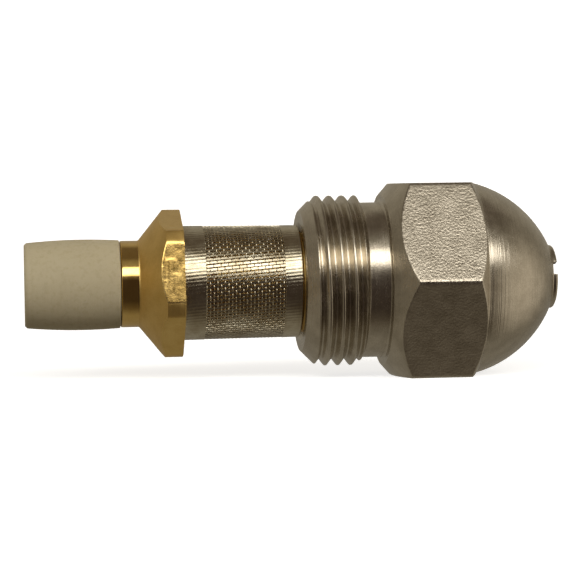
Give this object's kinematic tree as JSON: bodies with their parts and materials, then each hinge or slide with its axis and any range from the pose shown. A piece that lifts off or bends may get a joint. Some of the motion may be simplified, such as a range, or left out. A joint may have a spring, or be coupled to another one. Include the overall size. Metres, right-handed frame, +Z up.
{
  "type": "oil burner nozzle",
  "caption": "Oil burner nozzle: domed stainless hex body with a screw thread, and a screw-in brass strainer unit with a wire mesh sleeve, spring-loaded anti-drip valve and white end cap.",
  "frame": {"origin": "centre of the orifice outlet, on the nozzle axis", "axes": "+X along the nozzle axis in the spray direction, +Z up with a hexagon flat underneath, +Y completes the right-handed frame"},
  "size_m": [0.0438, 0.0184, 0.0158],
  "materials": {
    "stainless_steel": "turned and tumbled stainless steel, satin, with fine turning lines and a lightly pitted skin on the hex flats",
    "turned_brass": "free-cutting brass, machined bright on the neck and matt on the cone and flange",
    "woven_wire": "plain-weave nickel-alloy wire cloth, dull",
    "spring_wire": "drawn stainless spring wire",
    "black_elastomer": "matt black oil-resistant rubber",
    "white_plastic": "off-white moulded plastic, matt"
  },
  "bodies": {
    "nozzle": {"nozzle_body": "stainless_steel", "orifice_disc": "stainless_steel", "swirl_distributor": "stainless_steel", "lock_screw": "turned_brass"},
    "spigot_ring": {"spigot_o_ring": "black_elastomer"},
    "strainer_unit": {"oil_tube": "turned_brass", "mesh_sleeve": "woven_wire", "valve_housing": "turned_brass", "valve_spring": "spring_wire", "spring_plug": "turned_brass", "cap_gasket": "black_elastomer", "end_cap": "white_plastic"},
    "valve": {"valve_piston": "turned_brass", "valve_seal": "black_elastomer", "piston_o_ring": "black_elastomer"}
  },
  "joints": [
    {"name": "strainer_travel", "type": "slide", "parent": "nozzle", "child": "spigot_ring", "axis": [1, 0, 0], "range_m": [-0.00238, 0]},
    {"name": "strainer_turn", "type": "hinge", "parent": "spigot_ring", "child": "strainer_unit", "pos_m": [-0.019, 0, 0], "axis": [1, 0, 0], "range_deg": [-1080, 0]},
    {"name": "valve_stroke", "type": "slide", "parent": "strainer_unit", "child": "valve", "axis": [-1, 0, 0], "range_m": [0, 0.0011], "stiffness_N_per_m": 800, "springref_m": -0.003, "deforming": ["valve_spring"]}
  ],
  "couplings": [
    {"joint": "strainer_turn", "follows": "strainer_travel", "rad_per_m": 7915.8}
  ]
}
